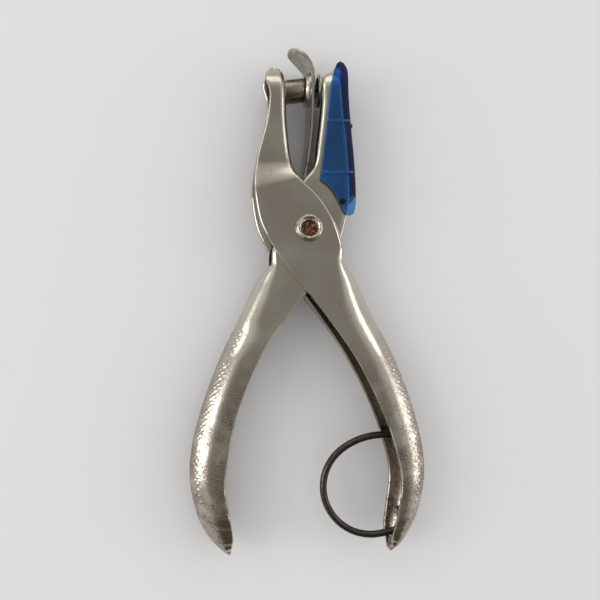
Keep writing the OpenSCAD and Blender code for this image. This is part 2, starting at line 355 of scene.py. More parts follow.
def cut(name: str, bm: bmesh.types.BMesh, *cutters: bmesh.types.BMesh) -> bmesh.types.BMesh:
    """Cuts closed shapes out of a mesh.

    Args:
        name: a name for the object used on the way.
        bm: the mesh to cut, which is freed.
        cutters: closed meshes, which are freed.

    Returns:
        The mesh that is left.
    """
    body = loose_object(name + "_blank", bm)
    tools = [loose_object(f"{name}_cutter_{i}", cutter) for i, cutter in enumerate(cutters)]
    for tool in tools:
        modifier = body.modifiers.new("cut", "BOOLEAN")
        modifier.operation = "DIFFERENCE"
        modifier.solver = "EXACT"
        modifier.object = tool
    bpy.context.view_layer.update()
    shown = body.evaluated_get(bpy.context.evaluated_depsgraph_get())
    mesh = bpy.data.meshes.new_from_object(shown)
    result = bmesh.new()
    result.from_mesh(mesh)
    bpy.data.meshes.remove(mesh)
    for spent in [body, *tools]:
        data = spent.data
        bpy.data.objects.remove(spent)
        bpy.data.meshes.remove(data)
    return result


def make_piece(name: str, bm: bmesh.types.BMesh, materials: list[bpy.types.Material],
               slot: Slot, *nodes: str, sharp: float = 38.0) -> bpy.types.Object:
    """Places a finished mesh in the row frame as a piece.

    Args:
        name: the piece's name.
        bm: its mesh in millimetres about the rivet, which is freed.
        materials: its materials, in the order of the faces' indices.
        slot: the record's slot; not used.
        nodes: the frame's nodes that it stands for.
        sharp: edges above this angle, in degrees, stay sharp.

    Returns:
        The piece, which doesn't ride on a body yet.
    """
    piece = loose_object(name, bm)
    piece.data.transform(Matrix.Translation(ORIGIN) @ Matrix.Scale(MM, 4))
    piece.data.shade_smooth()
    piece.data.set_sharp_from_angle(angle=math.radians(sharp))
    for material in materials:
        piece.data.materials.append(material)
    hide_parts(*nodes)
    LOG.info("%s: %d faces, for %s", name, len(piece.data.polygons), ", ".join(nodes))
    return piece


def add_node(tree: bpy.types.NodeTree, kind: str, settings: dict[str, Any] | None = None,
             inputs: dict[str | int, Any] | None = None) -> bpy.types.Node:
    """Adds a node with its settings, values and links.

    Args:
        tree: the tree that it goes into.
        kind: the node's type.
        settings: attributes by name.
        inputs: by socket name or number, a value, or another node's output to link.

    Returns:
        The node.
    """
    made = tree.nodes.new(kind)
    for key, value in (settings or {}).items():
        setattr(made, key, value)
    for key, value in (inputs or {}).items():
        if isinstance(value, bpy.types.NodeSocket):
            tree.links.new(value, made.inputs[key])
        else:
            made.inputs[key].default_value = value
    return made


def ramp(tree: bpy.types.NodeTree, value: bpy.types.NodeSocket, low: float, high: float,
         bottom: float = 0.0, top: float = 1.0) -> bpy.types.NodeSocket:
    """A value that goes smoothly from bottom to top as another goes from low to high."""
    return add_node(tree, "ShaderNodeMapRange", {"interpolation_type": "SMOOTHSTEP"},
                    {"Value": value, "From Min": low, "From Max": high,
                     "To Min": bottom, "To Max": top}).outputs["Result"]


def maths(tree: bpy.types.NodeTree, operation: str, a: Any, b: Any) -> bpy.types.NodeSocket:
    """One sum on two values or sockets."""
    return add_node(tree, "ShaderNodeMath", {"operation": operation}, {0: a, 1: b}).outputs[0]


def blend(tree: bpy.types.NodeTree, share: Any, a: Any, b: Any) -> bpy.types.NodeSocket:
    """Colour a turning to colour b by a share."""
    return add_node(tree, "ShaderNodeMix", {"data_type": "RGBA"},
                    {"Factor": share, 6: a, 7: b}).outputs[2]


def noise(tree: bpy.types.NodeTree, place: bpy.types.NodeSocket, grain: float,
          detail: float = 2.0, roughness: float = 0.5) -> bpy.types.NodeSocket:
    """Cloudy noise whose grain is this many millimetres."""
    return add_node(tree, "ShaderNodeTexNoise", None,
                    {"Vector": place, "Scale": per_mm(grain), "Detail": detail,
                     "Roughness": roughness}).outputs["Fac"]


def start_material(name: str) -> tuple[bpy.types.Material, bpy.types.NodeTree,
                                       bpy.types.Node, bpy.types.NodeSocket]:
    """Starts a material.

    Args:
        name: its name.

    Returns:
        The material with its tree, its shader and the object's coordinates.
    """
    material = bpy.data.materials.new(name)
    material.use_nodes = True
    tree = material.node_tree
    tree.nodes.clear()
    shader = add_node(tree, "ShaderNodeBsdfPrincipled")
    add_node(tree, "ShaderNodeOutputMaterial", None, {"Surface": shader.outputs["BSDF"]})
    place = add_node(tree, "ShaderNodeTexCoord").outputs["Object"]
    return material, tree, shader, place


def bump(tree: bpy.types.NodeTree, shader: bpy.types.Node, height: bpy.types.NodeSocket,
         depth_mm: float, strength: float = 1.0) -> None:
    """Gives a shader a relief whose full height is this many millimetres."""
    made = add_node(tree, "ShaderNodeBump", None,
                    {"Height": height, "Distance": depth_mm * MM, "Strength": strength})
    tree.links.new(made.outputs["Normal"], shader.inputs["Normal"])


# ---------------------------------------------------------------------------------------
# Finishes
# ---------------------------------------------------------------------------------------
@dataclass(frozen=True)
class NickelPlate:
    """Thin nickel over stamped steel, handled for years.

    It gives the eye a soft, warm-grey mirror on the plates and jaws. Down the handles it turns
    patchy brown where the nickel has worn thin, with dark pits and an etched glitter. The grain
    is drawn at 0.42 mm, coarser than real etching, so that it shows.
    """

    name: str = "nickel_plated_steel"
    bright: str = "#C9C5B7"
    warm: str = "#BBB3A8"
    worn: str = "#A08C7E"
    pit: str = "#33291F"
    roughness: float = 0.17
    pit_roughness: float = 0.35
    drift_grain: float = 14.0
    patch_grain: float = 5.0
    etch_grain: float = 0.42
    pit_grain: float = 0.75
    drift_band: tuple[float, float] = (0.35, 0.65)
    patch_band: tuple[float, float] = (0.33, 0.56)
    etch_band: tuple[float, float] = (0.46, 0.64)
    pit_band: tuple[float, float] = (0.66, 0.74)
    pit_share: float = 0.75
    mottle_share: float = 0.7
    worn_share: float = 0.55
    grip_start: float = -0.004
    grip_full: float = -0.040
    etch_start: float = 0.004
    etch_full: float = -0.006
    smooth_relief: float = 0.25
    etched_relief: float = 1.5
    relief: float = 0.03
    relief_strength: float = 0.6

    def material(self) -> bpy.types.Material:
        """Builds the plated steel.

        Returns:
            The material, whose wear grows from the shoulders down the handles.
        """
        material, tree, shader, place = start_material(self.name)
        along = add_node(tree, "ShaderNodeSeparateXYZ", None, {0: place}).outputs["Y"]
        grip = ramp(tree, along, self.grip_start, self.grip_full)
        drift = ramp(tree, noise(tree, place, self.drift_grain, 1.0), *self.drift_band)
        patches = ramp(tree, noise(tree, place, self.patch_grain, 3.0), *self.patch_band)
        grains = noise(tree, place, self.etch_grain, 3.0, 0.6)
        wear = maths(tree, "MULTIPLY", patches, grip)
        mottle = maths(tree, "MULTIPLY", ramp(tree, grains, *self.etch_band), wear)
        spots = ramp(tree, noise(tree, place, self.pit_grain, 2.0), *self.pit_band)
        sparse = maths(tree, "MULTIPLY", spots,
                       maths(tree, "MULTIPLY_ADD", grip, self.pit_share))
        pits = maths(tree, "MAXIMUM", sparse,
                     maths(tree, "MULTIPLY", mottle, self.mottle_share))
        base = blend(tree, drift, linear(self.bright), linear(self.warm))
        thinned = maths(tree, "MULTIPLY", wear, self.worn_share)
        brown = blend(tree, thinned, base, linear(self.worn))
        colour = blend(tree, pits, brown, linear(self.pit))
        tree.links.new(colour, shader.inputs["Base Color"])
        shader.inputs["Metallic"].default_value = 1.0
        matt = maths(tree, "MULTIPLY_ADD", pits, self.pit_roughness)
        matt.node.inputs[2].default_value = self.roughness
        tree.links.new(matt, shader.inputs["Roughness"])
        etch = ramp(tree, along, self.etch_start, self.etch_full,
                    self.smooth_relief, self.etched_relief)
        relief = maths(tree, "SUBTRACT", maths(tree, "MULTIPLY", grains, etch), pits)
        bump(tree, shader, relief, self.relief, self.relief_strength)
        return material


@dataclass(frozen=True)
class PlainMetal:
    """A metal of one colour whose fine grain comes from how its surface was made; in the die's
    bore the grain's dark share is painted shade.
    """

    name: str
    colour: str
    shade: str
    roughness: float
    grain: float = 0.6
    relief: float = 0.01
    roughness_spread: float = 0.12
    shade_band: tuple[float, float] = (0.38, 0.68)
    gloss_band: tuple[float, float] = (0.3, 0.7)

    def material(self) -> bpy.types.Material:
        """Builds the metal.

        Returns:
            The material, whose grain varies its colour and its gloss a little.
        """
        material, tree, shader, place = start_material(self.name)
        grains = noise(tree, place, self.grain, 3.0, 0.6)
        share = ramp(tree, grains, *self.shade_band)
        tree.links.new(blend(tree, share, linear(self.colour), linear(self.shade)),
                       shader.inputs["Base Color"])
        shader.inputs["Metallic"].default_value = 1.0
        tree.links.new(ramp(tree, grains, *self.gloss_band, self.roughness,
                            self.roughness + self.roughness_spread),
                       shader.inputs["Roughness"])
        bump(tree, shader, grains, self.relief)
        return material


@dataclass(frozen=True)
class RustedSteel:
    """Bare steel in the rivet's hollow, left to rust: matt, crusty and dark, with paler flecks."""

    name: str = "rusted_steel"
    dark: str = "#3A2014"
    mid: str = "#8C5A46"
    pale: str = "#C79C84"
    grain: float = 0.7
    mid_band: tuple[float, float] = (0.36, 0.58)
    pale_band: tuple[float, float] = (0.54, 0.66)
    metallic: float = 0.55
    roughness: float = 0.42
    relief: float = 0.12

    def material(self) -> bpy.types.Material:
        """Builds the rust.

        Returns:
            The material, half metal and half crust.
        """
        material, tree, shader, place = start_material(self.name)
        grains = noise(tree, place, self.grain, 4.0, 0.65)
        crust = blend(tree, ramp(tree, grains, *self.mid_band), linear(self.dark),
                      linear(self.mid))
        colour = blend(tree, ramp(tree, grains, *self.pale_band), crust, linear(self.pale))
        tree.links.new(colour, shader.inputs["Base Color"])
        shader.inputs["Metallic"].default_value = self.metallic
        shader.inputs["Roughness"].default_value = self.roughness
        bump(tree, shader, grains, self.relief)
        return material


@dataclass(frozen=True)
class BluePlastic:
    """Clear blue moulded polystyrene: deep where it is thick, teal over the steel."""

    name: str = "clear_blue_polystyrene"
    tint: str = "#B0DEFF"
    absorbs: str = "#20CFF4"
    density: float = 1450.0
    roughness: float = 0.03
    scuff_roughness: float = 0.15
    scuff_grain: float = 1.6
    scuff_band: tuple[float, float] = (0.50, 0.78)
    relief: float = 0.05
    relief_strength: float = 0.5
    ior: float = 1.50

    def material(self) -> bpy.types.Material:
        """Builds the plastic.

        Returns:
            The material: a clear, lightly scuffed skin over a tinted inside.
        """
        material, tree, shader, place = start_material(self.name)
        shader.inputs["Base Color"].default_value = linear(self.tint)
        shader.inputs["Metallic"].default_value = 0.0
        shader.inputs["Transmission Weight"].default_value = 1.0
        shader.inputs["IOR"].default_value = self.ior
        scuffs = noise(tree, place, self.scuff_grain, 4.0, 0.6)
        tree.links.new(ramp(tree, scuffs, *self.scuff_band, self.roughness,
                            self.roughness + self.scuff_roughness),
                       shader.inputs["Roughness"])
        bump(tree, shader, scuffs, self.relief, self.relief_strength)
        inside = add_node(tree, "ShaderNodeVolumeAbsorption", None,
                          {"Color": linear(self.absorbs), "Density": self.density})
        output = next(n for n in tree.nodes if n.bl_idname == "ShaderNodeOutputMaterial")
        tree.links.new(inside.outputs["Volume"], output.inputs["Volume"])
        return material


@dataclass(frozen=True)
class PaleTable:
    """Plain matt white board, the ground that the punch lies on."""

    name: str = "matt_white_board"
    colour: str = "#C4C4C4"
    shade: str = "#BEBEBE"
    cloud_size: float = 60.0
    cloud_band: tuple[float, float] = (0.3, 0.7)
    cloud_share: float = 0.05
    roughness: float = 0.9

    def material(self) -> bpy.types.Material:
        """Builds the board.

        Returns:
            The material, almost even, with faint clouds in its colour.
        """
        material, tree, shader, place = start_material(self.name)
        cloud = ramp(tree, noise(tree, place, self.cloud_size, 2.0), *self.cloud_band,
                     0.0, self.cloud_share)
        tree.links.new(blend(tree, cloud, linear(self.colour), linear(self.shade)),
                       shader.inputs["Base Color"])
        shader.inputs["Roughness"].default_value = self.roughness
        return material


# Nickel on turned steel: brighter and smoother than the stamped arms, so the rim glints.
RIVET_FINISH = PlainMetal("plated_rivet_steel", "#CFCCBF", "#A7A294", 0.14, 0.8, 0.01)
# Ground tool steel gone brown in the air: a warm, dull mirror round the pin.
PIN_FINISH = PlainMetal("browned_tool_steel", "#9C9182", "#81766A", 0.22, 0.5, 0.008)
# The die's bore, ground steel with painted shade: its dark mottle stands in for the shade in the
# hole, and it is rough.
BORE_PAINTED_SHADE_FINISH = PlainMetal("tool_steel_with_painted_bore_shade", "#8F877C", "#3C352F", 0.35, 1.3, 0.02)
# Cold-rolled strip under nickel: paler and more matt than the arms.
STRIP_FINISH = PlainMetal("plated_strip", "#B9B7AC", "#A09B8F", 0.24, 1.4, 0.012)
# Drawn spring wire, oiled: dark grey with a soft shine.
SPRING_FINISH = PlainMetal("oiled_spring_wire", "#55504A", "#3A3632", 0.3, 0.6, 0.01)
# Blackened soft wire: near black, with a grey line of light along it.
LOOP_FINISH = PlainMetal("black_oxide_wire", "#5A5551", "#3A3532", 0.30, 0.5, 0.015)


# ---------------------------------------------------------------------------------------
# The arms
# ---------------------------------------------------------------------------------------
@dataclass
class StampedArm:
    """One arm: sheet steel folded to a channel, from the jaw's nose to the handle's tip.

    A station is web edge x and y, free edge x and y, half width and corner radius.
    """

    name: str
    node: str
    body: Body
    stations: list[Section]
    sheet: float = 1.0
    lip: float = 0.4
    plate_steps: int = 7
    corner_steps: int = 26
    web_steps: int = 5
    lip_steps: int = 5
    fine: float = 0.30
    coarse: float = 0.6
    fine_lead: float = 2.0
    row_slack: float = 0.95
    flat_left: float = 1.2
    web_left: float = 0.5
    least_corner: float = 0.4
    lip_gap: float = 0.05
    roll_top: float = -5.0
    roll_low: float = -25.0
    roll_depth: float = 8.4
    roll_height: float = 5.2
    knurl_top: float = -25.0
    knurl_low: float = -77.0
    knurl_reach: float = 7.0
    knurl_pitch: float = 1.7
    knurl_depth: float = 0.25
    knurl_edge: float = 0.6
    knurl_fade: float = 4.0
    nose_start: float = 37.5
    nose_end: float = 44.2
    nose_blunt: float = 0.16
    dimple_depth: float = 0.35
    dimples: list[tuple[float, float, float]] = field(default_factory=list)

    def half_width(self, x: float, y: float, tabled: float) -> float:
        """Half of the arm's width at a place; the noses round off to the front.

        Args:
            x: where the place is across the tool.
            y: where it is along the tool.
            tabled: the station's own half width.

        Returns:
            The half width.
        """
        share = (y - self.nose_start) / (self.nose_end - self.nose_start)
        if share <= 0:
            return tabled
        return tabled * math.sqrt(max(1 - share * share, self.nose_blunt))

    def knurl(self, along: float, across: float, y: float) -> float:
        """Height of the grip's diamond pattern, from grooves that cross over the back.

        Args:
            along: the distance along the arm.
            across: the distance round the section from the web's middle.
            y: where the section is along the tool.

        Returns:
            The rise above the plain back, which is below zero in a groove.
        """
        edge = ease((self.knurl_reach - abs(across)) / self.knurl_edge)
        ends = (ease((self.knurl_top - y) / self.knurl_fade)
                * ease((y - self.knurl_low) / self.knurl_fade))
        if edge * ends == 0:
            return 0.0
        turn = math.pi / self.knurl_pitch
        first = abs(math.sin(turn * (along + across)))
        second = abs(math.sin(turn * (along - across)))
        return self.knurl_depth * edge * ends * (min(first, second) - 0.5)

    def corner(self, y: float, depth: float, half: float, radius: float) -> tuple[float, float]:
        """How far the corner goes each way: down the handles it rolls over.

        Args:
            y: where the section is along the tool.
            depth: from the web's outer face to the free edge.
            half: half of the width.
            radius: the corner's radius where it doesn't roll.

        Returns:
            Its reach along the depth and its drop down the height.
        """
        roll = ease((self.roll_top - y) / (self.roll_top - self.roll_low))
        reach = lerp(radius, self.roll_depth, roll)
        drop = lerp(radius, self.roll_height, roll)
        least = self.least_corner
        reach = max(min(reach, depth - self.flat_left), min(radius, depth - least), least)
        return reach, max(min(drop, half - self.web_left), least)

    def half_ring(self, depth: float, half: float, reach: float, drop: float, inner: bool
                  ) -> list[tuple[float, float, float, float, float]]:
        """The upper half of one face of the section, from the lip to the web's middle.

        Args:
            depth: from the web's outer face to the free edge.
            half: half of the width.
            reach: how far the corner reaches along the depth.
            drop: how far the corner comes down the height.
            inner: whether this is the inside face.

        Returns:
            Points as (depth, height, normal depth, normal height, distance from mid web).
        """
        shift = self.sheet if inner else 0.0
        start = max(depth - self.lip, reach + self.lip_gap)
        points = [(lerp(start, reach, k / self.plate_steps), half - shift, 0.0, 1.0,
                   half + reach) for k in range(self.plate_steps)]
        for k in range(self.corner_steps + 1):
            a = math.pi / 2 * (1 + k / self.corner_steps)
            normal = Vector((math.cos(a) / reach, math.sin(a) / drop)).normalized()
            points.append((reach * (1 + math.cos(a)) - shift * normal.x,
                           half - drop + drop * math.sin(a) - shift * normal.y,
                           normal.x, normal.y,
                           half - drop + (reach + drop) / 2 * (math.pi - a)))
        for k in range(1, self.web_steps):
            height = lerp(half - drop, 0, k / self.web_steps)
            points.append((shift, height, -1.0, 0.0, height))
        return points

    def ring(self, station: Section, along: float) -> Ring:
        """One closed ring of the channel's section.

        Args:
            station: the station's row.
            along: its distance along the arm.

        Returns:
            The ring, from the upper lip round the outside and back inside.
        """
        web = Vector((station[0], station[1], 0))
        free = Vector((station[2], station[3], 0))
        depth = (free - web).length
        inward = (free - web) / depth
        half = station[4]
        reach, drop = self.corner(web.y, depth, half, station[5])
        outer = self.half_ring(depth, half, reach, drop, False)
        inner = self.half_ring(depth, half, reach, drop, True)
        flat: list[tuple[float, float]] = []
        for sign, points in ((1, outer), (-1, outer[::-1])):
            for d, h, nd, nh, across in points:
                rise = self.knurl(along, sign * across, web.y)
                flat.append((d + nd * rise, sign * (h + nh * rise)))
            if sign == 1:
                flat.append((-self.knurl(along, 0, web.y), 0.0))
        lip = self.lip
        thick = self.sheet / 2
        start = max(depth - lip, reach + self.lip_gap)
        rounding = [math.radians(-90 + 180 * k / self.lip_steps)
                    for k in range(1, self.lip_steps)]
        flat += [(start + lip * math.cos(a), -half + thick + thick * math.sin(a))
                 for a in rounding]
        flat += [(d, -h) for d, h, *_ in inner]
        flat.append((self.sheet, 0.0))
        flat += [(d, h) for d, h, *_ in inner[::-1]]
        flat += [(start + lip * math.cos(a), half - thick + thick * math.sin(a))
                 for a in rounding]
        ring: Ring = []
        for d, h in flat:
            point = web + inward * d
            wanted = self.half_width(point.x, point.y, half)
            plate = abs(h) > half - drop
            z = h + math.copysign(1.0, h) * (wanted - half) if plate else h * wanted / half
            ring.append(Vector((point.x, point.y, z)))
        return ring

    def shell(self) -> bmesh.types.BMesh:
        """Folds the whole channel.

        Returns:
            The channel, with rows close together only where they are needed.
        """
        rows = smooth_row(self.stations, self.fine, 4)
        kept: list[Section] = []
        for row in rows:
            gap = self.fine if row[1] < self.knurl_top + self.fine_lead else self.coarse
            # Rows come a little closer than asked, so the test allows for it.
            if not kept or math.dist(kept[-1][:2], row[:2]) > gap * self.row_slack:
                kept.append(row)
        kept[-1] = rows[-1]
        rings: list[Ring] = []
        along = 0.0
        for i, row in enumerate(kept):
            along += math.dist(row[:2], kept[i - 1][:2]) if i else 0.0
            rings.append(self.ring(row, along))
        bm = skin(rings)
        for x, y, size in self.dimples:
            for v in bm.verts:
                away = math.hypot(v.co.x - x, v.co.y - y)
                near = away < 3 * size  # past this the dimple is flat
                if v.co.z > 0 and near:
                    v.co.z -= self.dimple_depth * size * math.exp(-(away / size) ** 2)
        return bm

    def cutters(self) -> list[bmesh.types.BMesh]:
        """The shapes that are punched out of the arm."""
        return [rod(RIVET_HOLE, -THROUGH, THROUGH)]

    def extras(self) -> list[bmesh.types.BMesh]:
        """Small parts that are welded in."""
        return []

    def build(self, plate: bpy.types.Material) -> bpy.types.Object:
        """Makes the arm's piece and lets it ride on its body.

        Args:
            plate: the plated steel.

        Returns:
            The piece.
        """
        bm = cut(self.name, self.shell(), *self.cutters())
        join(bm, *self.extras())
        piece = make_piece(self.name, bm, [plate], Slot.NICKEL, self.node)
        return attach(piece, self.body.value)


@dataclass
class PunchArm(StampedArm):
    """The outer arm: punch jaw, joggled plates over the rivet and the handle with the loop."""

    wide: float = 6.0
    narrow: float = 4.7
    joggle_top: float = 17.9
    joggle_low: float = 13.5
    joggle_slope: float = 0.27
    joggle_x: float = -2.5
    joggle_ease: float = 0.45
    step_from: float = 8.0
    window_half: float = 5.02
    slot_half: float = 4.3
    lugs: tuple[float, float] = (-51.2, -75.3)
    lug_x: float = 26.7
    lug_size: tuple[float, float, float] = (4.8, 1.8, 3.6)
    lug_round: float = 0.3
    foot_x: float = 25.9
    foot_hole: float = 1.0
    foot_run: tuple[float, float] = (-80, -40)

    def half_width(self, x: float, y: float, tabled: float) -> float:
        """Half of the width, with the sloping step from the plates down to the jaw.

        Args:
            x: where the place is across the tool.
            y: where it is along the tool.
            tabled: the station's own half width, which holds behind the step.

        Returns:
            The half width.
        """
        if y < self.step_from:
            return tabled
        low = self.joggle_low + self.joggle_slope * (x - self.joggle_x)
        share = min(max((y - low) / (self.joggle_top - low), 0.0), 1.0)
        level = lerp(self.wide, self.narrow, lerp(share, ease(share), self.joggle_ease))
        return super().half_width(x, y, level)

    def cutters(self) -> list[bmesh.types.BMesh]:
        """Cuts the rivet's hole and the web's opening, which the other arm passes through.

        Returns:
            The cutters: the hole, the opening and its narrow end over the jaw.
        """
        window = prism([(-8, 10.6), (-8, -11.0), (30, -6.0), (30, 14.3), (-3.2, 14.3),
                        (-3.2, 12.9)], -self.window_half, self.window_half)
        slot = prism([(-3.6, 12.2), (30, 12.2), (30, 16), (-5.4, 16)],
                     -self.slot_half, self.slot_half)
        return [*super().cutters(), window, slot]

    def extras(self) -> list[bmesh.types.BMesh]:
        """The lugs inside the handle that hold the wire loop's feet.

        Returns:
            The two lugs, with their holes.
        """
        made: list[bmesh.types.BMesh] = []
        for y in self.lugs:
            bm = bmesh.new()
            middle = Matrix.Translation((self.lug_x, y - self.lug_size[1] / 2, 0))
            bmesh.ops.create_cube(bm, size=1.0,
                                  matrix=middle @ Matrix.Diagonal((*self.lug_size, 1)))
            soften(bm, self.lug_round)
            hole = rod(self.foot_hole, *self.foot_run, Matrix.Translation((self.foot_x, 0, 0))
                       @ Matrix.Rotation(math.radians(-90), 4, "X"))
            made.append(cut("lug", bm, hole))
        return made


@dataclass
class DieArm(StampedArm):
    """The inner arm: die jaw, plates nested inside the other arm's, and the plain handle."""

    shank_radius: float = 3.7
    seat_run: tuple[float, float] = (3, 8)
    punch_reach: float = 38.6
    pip_hole: float = 0.85
    hinge: tuple[float, float] = (9.0, 7.2)
    window_half: float = 3.92

    def cutters(self) -> list[bmesh.types.BMesh]:
        """Cuts the rivet's hole, the web's opening, the die's seat and the catcher's holes.

        Returns:
            The cutters.
        """
        window = prism([(-30, 15.8), (-30, -5.3), (30, -18.5), (30, 15.8)],
                       -self.window_half, self.window_half)
        seat = rod(self.shank_radius, *self.seat_run, Matrix.Translation((0, self.punch_reach, 0))
                   @ Matrix.Rotation(math.radians(90), 4, "Y"))
        pips = rod(self.pip_hole, -THROUGH, THROUGH, Matrix.Translation((*self.hinge, 0)), 24)
        return [*super().cutters(), window, seat, pips]


PUNCH_STATIONS: list[Section] = [
    [-7.6, 44.1, -9.9, 44.4, 4.7, 1.2], [-6.6, 42.6, -11.1, 42.6, 4.7, 1.4],
    [-6.1, 40.6, -11.4, 40.6, 4.7, 1.8],
    [-5.8, 36.6, -10.3, 36.4, 4.7, 1.8], [-5.6, 29.5, -11.0, 29.5, 4.7, 1.8],
    [-4.8, 21.0, -13.2, 21.0, 4.7, 1.8], [-3.8, 16.0, -14.2, 15.5, 4.7, 1.2],
    [-1.6, 13.0, -14.4, 11.0, 6.0, 1.2], [3.0, 8.6, -13.6, 5.0, 6.0, 1.2],
    [6.6, 3.0, -12.3, 0.5, 6.0, 1.2], [8.9, -3.5, -9.2, -5.2, 6.0, 1.2],
    [9.8, -8.8, -5.2, -10.8, 6.0, 2.0], [12.7, -12.7, -1.5, -15.6, 6.0, 3.4],
    [17.5, -22.5, 5.2, -24.0, 6.2, 4.2], [23.7, -34.5, 12.6, -34.8, 6.4, 4.2],
    [28.6, -47.5, 19.0, -47.5, 6.4, 4.2], [31.3, -58.8, 22.8, -58.4, 6.4, 4.2],
    [31.6, -67.0, 24.4, -67.0, 6.4, 4.2], [30.0, -75.4, 23.4, -76.4, 6.2, 4.0],
    [28.6, -79.2, 22.8, -79.4, 5.7, 3.6], [26.8, -82.6, 22.4, -82.2, 4.7, 2.8],
    [25.1, -85.0, 22.6, -84.2, 3.5, 1.8], [23.9, -86.1, 22.6, -85.4, 2.4, 1.2],
    [23.1, -86.9, 22.6, -86.4, 1.5, 0.6]]
DIE_STATIONS: list[Section] = [
    [5.9, 42.7, 7.6, 42.6, 4.7, 1.2], [4.3, 41.5, 8.2, 41.3, 4.7, 1.4],
    [3.5, 39.6, 8.6, 39.4, 4.7, 1.8], [3.5, 34.6, 9.0, 34.6, 4.7, 1.8],
    [3.2, 30.5, 9.4, 30.0, 4.7, 1.8], [2.3, 22.5, 10.3, 22.0, 4.7, 1.8],
    [1.5, 17.0, 10.7, 15.5, 4.7, 1.2],
    [-1.8, 12.6, 10.9, 9.5, 4.9, 1.2], [-4.6, 7.0, 10.2, 3.5, 4.9, 1.2],
    [-7.3, 1.0, 8.8, -2.2, 4.9, 1.2], [-9.4, -5.0, 6.4, -8.0, 4.9, 1.2],
    [-10.4, -9.6, 3.2, -12.6, 4.9, 2.0], [-13.4, -13.6, -0.6, -17.4, 4.9, 3.4],
    [-18.4, -24.0, -6.6, -24.9, 5.1, 4.2], [-23.6, -35.0, -13.2, -35.0, 6.4, 4.2],
    [-28.4, -48.0, -18.6, -48.2, 6.4, 4.2], [-31.1, -59.0, -21.0, -59.0, 6.4, 4.2],
    [-31.6, -67.5, -22.2, -68.5, 6.4, 4.2], [-30.0, -76.0, -21.1, -76.4, 6.2, 4.0],
    [-28.4, -80.0, -20.4, -79.8, 5.7, 3.6], [-26.2, -83.6, -20.0, -83.0, 4.7, 2.8],
    [-23.9, -86.0, -20.2, -85.2, 3.5, 1.8], [-22.2, -87.4, -20.5, -86.7, 2.4, 1.2],
    [-21.2, -88.1, -20.6, -87.7, 1.5, 0.6]]


# ---------------------------------------------------------------------------------------
# Rivet, punch and die
# ---------------------------------------------------------------------------------------
@dataclass
class Rivet:
    """The semi-tubular rivet with its rolled rim, and the washer under it."""

    barrel: float = 2.8
    seat: float = 6.05
    washer: float = 0.5
    washer_radius: float = 3.6
    rim_radius: float = 3.35
    rim: float = 0.9
    recess_radius: float = 1.98
    recess: float = 2.0
    head_radius: float = 4.1
    head: float = 1.1
    roll: float = 0.5
    rust_lump: float = 0.12
    rim_wave: float = 0.05
    spin_steps: int = 112

    def build(self, steel: bpy.types.Material, rust: bpy.types.Material) -> None:
        """Makes the rivet and its washer.

        Args:
            steel: the plated steel of both.
            rust: the rusted bottom of the hollow end.
        """
        top = self.seat + self.washer
        rolled = arc((self.rim_radius - self.roll, top + self.rim - self.roll), self.roll,
                     -20, 150, 10)
        profile = [(0, -self.seat - self.head), (self.head_radius - 1.0, -self.seat - self.head)]
        profile += [(self.head_radius - 0.35, -self.seat - 0.85 * self.head),
                    (self.head_radius, -self.seat - 0.4), (self.head_radius, -self.seat - 0.05),
                    (self.head_radius - 0.05, -self.seat), (self.barrel, -self.seat)]
        profile += [(self.barrel, top), (self.rim_radius - 0.1, top), *rolled]
        profile += [(self.recess_radius + 0.12, top + 0.35), (self.recess_radius, top),
                    (self.recess_radius - 0.05, top + 0.6 - self.recess)]
        profile += [(self.recess_radius - 0.35, top + 0.2 - self.recess),
                    (self.recess_radius - 1.1, top + 0.12 - self.recess),
                    (0, top + 0.3 - self.recess)]
        bm = lathe(profile, self.spin_steps)
        bottom = top + 0.7 - self.recess
        for f in bm.faces:
            centre = f.calc_center_median()
            if centre.xy.length < self.recess_radius + 0.02 and 0 < centre.z < bottom:
                f.material_index = 1
        for v in bm.verts:
            if v.co.xy.length < self.recess_radius - 0.1 and 0 < v.co.z < bottom:
                v.co.z += self.rust_lump * math.sin(2.6 * v.co.x + 1) * math.cos(3.1 * v.co.y)
            if v.co.z > top + 0.3:
                turn = math.atan2(v.co.y, v.co.x)
                v.co.z += self.rim_wave * (math.sin(5 * turn) - 1)
        piece = make_piece("rivet_rolled", bm, [steel, rust], Slot.RIVET, "pivot_rivet")
        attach(piece, Body.DIE.value)
        ring = lathe([(self.barrel + 0.05, self.seat), (self.washer_radius - 0.1, self.seat),
                      (self.washer_radius, self.seat + 0.12),
                      (self.washer_radius, self.seat + 0.32), (self.washer_radius - 0.14, top),
                      (self.barrel + 0.05, top), (self.barrel + 0.05, self.seat)])
        washer = make_piece("rivet_washer_ring", ring, [steel], Slot.RIVET, "rivet_washer")
        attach(washer, Body.DIE.value)


